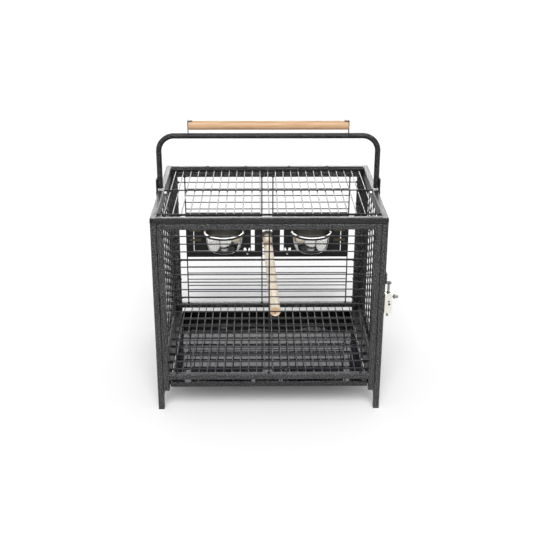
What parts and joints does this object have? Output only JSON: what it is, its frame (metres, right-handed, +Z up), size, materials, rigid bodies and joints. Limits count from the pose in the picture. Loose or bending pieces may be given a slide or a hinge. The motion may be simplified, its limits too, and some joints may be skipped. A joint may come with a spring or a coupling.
{
  "type": "bird travel carrier",
  "caption": "Tube and wire bird travel carrier with carry handle and wooden grip, side door, swing-out feeder cups, perch, wire floor and slide-out tray.",
  "frame": {"origin": "centre of the rectangle of the four legs, on the floor plane under the feet", "axes": "+X is to the right seen from the front, with the side door and latch on the +X side; the front faces -Y and the feeders are at +Y; +Z is up"},
  "size_m": [0.5171, 0.3768, 0.6018],
  "materials": {
    "frame_paint": "hammertone powder coat, dark charcoal",
    "wire_black": "black powder coat on welded wire",
    "sheet_black": "black powder coat on sheet steel",
    "tray_gloss": "smooth glossy black coat",
    "plug_plastic": "moulded black plastic",
    "nickel": "bright nickel plate, slightly warm",
    "cup_steel": "polished spun stainless steel",
    "grip_wood": "smooth varnished dowel",
    "perch_wood": "bare sanded dowel with light turning marks"
  },
  "bodies": {
    "cage": {"left_side_frame": "frame_paint", "right_side_frame": "frame_paint", "front_panel_frame": "frame_paint", "back_panel_frame": "frame_paint", "lid_frame": "frame_paint", "front_grille": "wire_black", "back_grille": "wire_black", "left_side_grille": "wire_black", "lid_grille": "wire_black", "foot_plugs": "plug_plastic", "panel_screws": "sheet_black", "lid_screws": "sheet_black", "handle_tube": "frame_paint", "handle_bolts": "sheet_black", "handle_spacers": "sheet_black", "handle_nuts": "nickel", "grip_straps": "wire_black", "wooden_grip": "grip_wood", "grip_screws": "nickel", "latch_keeper": "sheet_black", "keeper_rivets": "sheet_black", "left_feeder_sheet": "sheet_black", "right_feeder_sheet": "sheet_black", "left_fixed_leaves": "nickel", "right_fixed_leaves": "nickel", "turn_latch_rivets": "nickel", "perch": "perch_wood", "perch_bolt": "nickel", "perch_washers": "nickel", "perch_wing_nut": "nickel", "floor_grate": "wire_black", "tray_runners": "sheet_black"},
    "side_door": {"side_door_frame": "frame_paint", "side_door_grille": "wire_black", "latch_housing": "nickel", "latch_rivets": "nickel"},
    "latch_bolt": {"latch_rod": "nickel", "latch_knob": "nickel"},
    "left_feeder": {"left_feeder_door": "sheet_black", "left_door_leaves": "nickel", "left_cup_ring": "wire_black"},
    "right_feeder": {"right_feeder_door": "sheet_black", "right_door_leaves": "nickel", "right_cup_ring": "wire_black"},
    "left_food_cup": {"left_cup": "cup_steel"},
    "right_food_cup": {"right_cup": "cup_steel"},
    "left_turn_piece": {"left_turn_latch": "sheet_black"},
    "right_turn_piece": {"right_turn_latch": "sheet_black"},
    "tray_body": {"tray": "tray_gloss"}
  },
  "joints": [
    {"name": "side_door_hinge", "type": "hinge", "parent": "cage", "child": "side_door", "pos_m": [0.2364, 0.1643, 0.2525], "axis": [0, 0, 1], "range_deg": [0, 100]},
    {"name": "latch_bolt_slide", "type": "slide", "parent": "side_door", "child": "latch_bolt", "axis": [0, 0, 1], "range_m": [0, 0.006]},
    {"name": "left_feeder_hinge", "type": "hinge", "parent": "cage", "child": "left_feeder", "pos_m": [-0.1803, 0.17403, 0.2705], "axis": [0, 0, 1], "range_deg": [0, 110]},
    {"name": "right_feeder_hinge", "type": "hinge", "parent": "cage", "child": "right_feeder", "pos_m": [0.1803, 0.17403, 0.2705], "axis": [0, 0, -1], "range_deg": [0, 110]},
    {"name": "left_cup_lift", "type": "slide", "parent": "left_feeder", "child": "left_food_cup", "axis": [0, 0, 1], "range_m": [0, 0.06]},
    {"name": "right_cup_lift", "type": "slide", "parent": "right_feeder", "child": "right_food_cup", "axis": [0, 0, 1], "range_m": [0, 0.06]},
    {"name": "left_turn_latch_pivot", "type": "hinge", "parent": "cage", "child": "left_turn_piece", "pos_m": [-0.0493, 0.17593, 0.22025], "axis": [0, 1, 0], "range_deg": [0, 45]},
    {"name": "right_turn_latch_pivot", "type": "hinge", "parent": "cage", "child": "right_turn_piece", "pos_m": [0.0493, 0.17593, 0.22025], "axis": [0, -1, 0], "range_deg": [0, 45]},
    {"name": "tray_slide", "type": "slide", "parent": "cage", "child": "tray_body", "axis": [0, -1, 0], "range_m": [0, 0.33]}
  ]
}
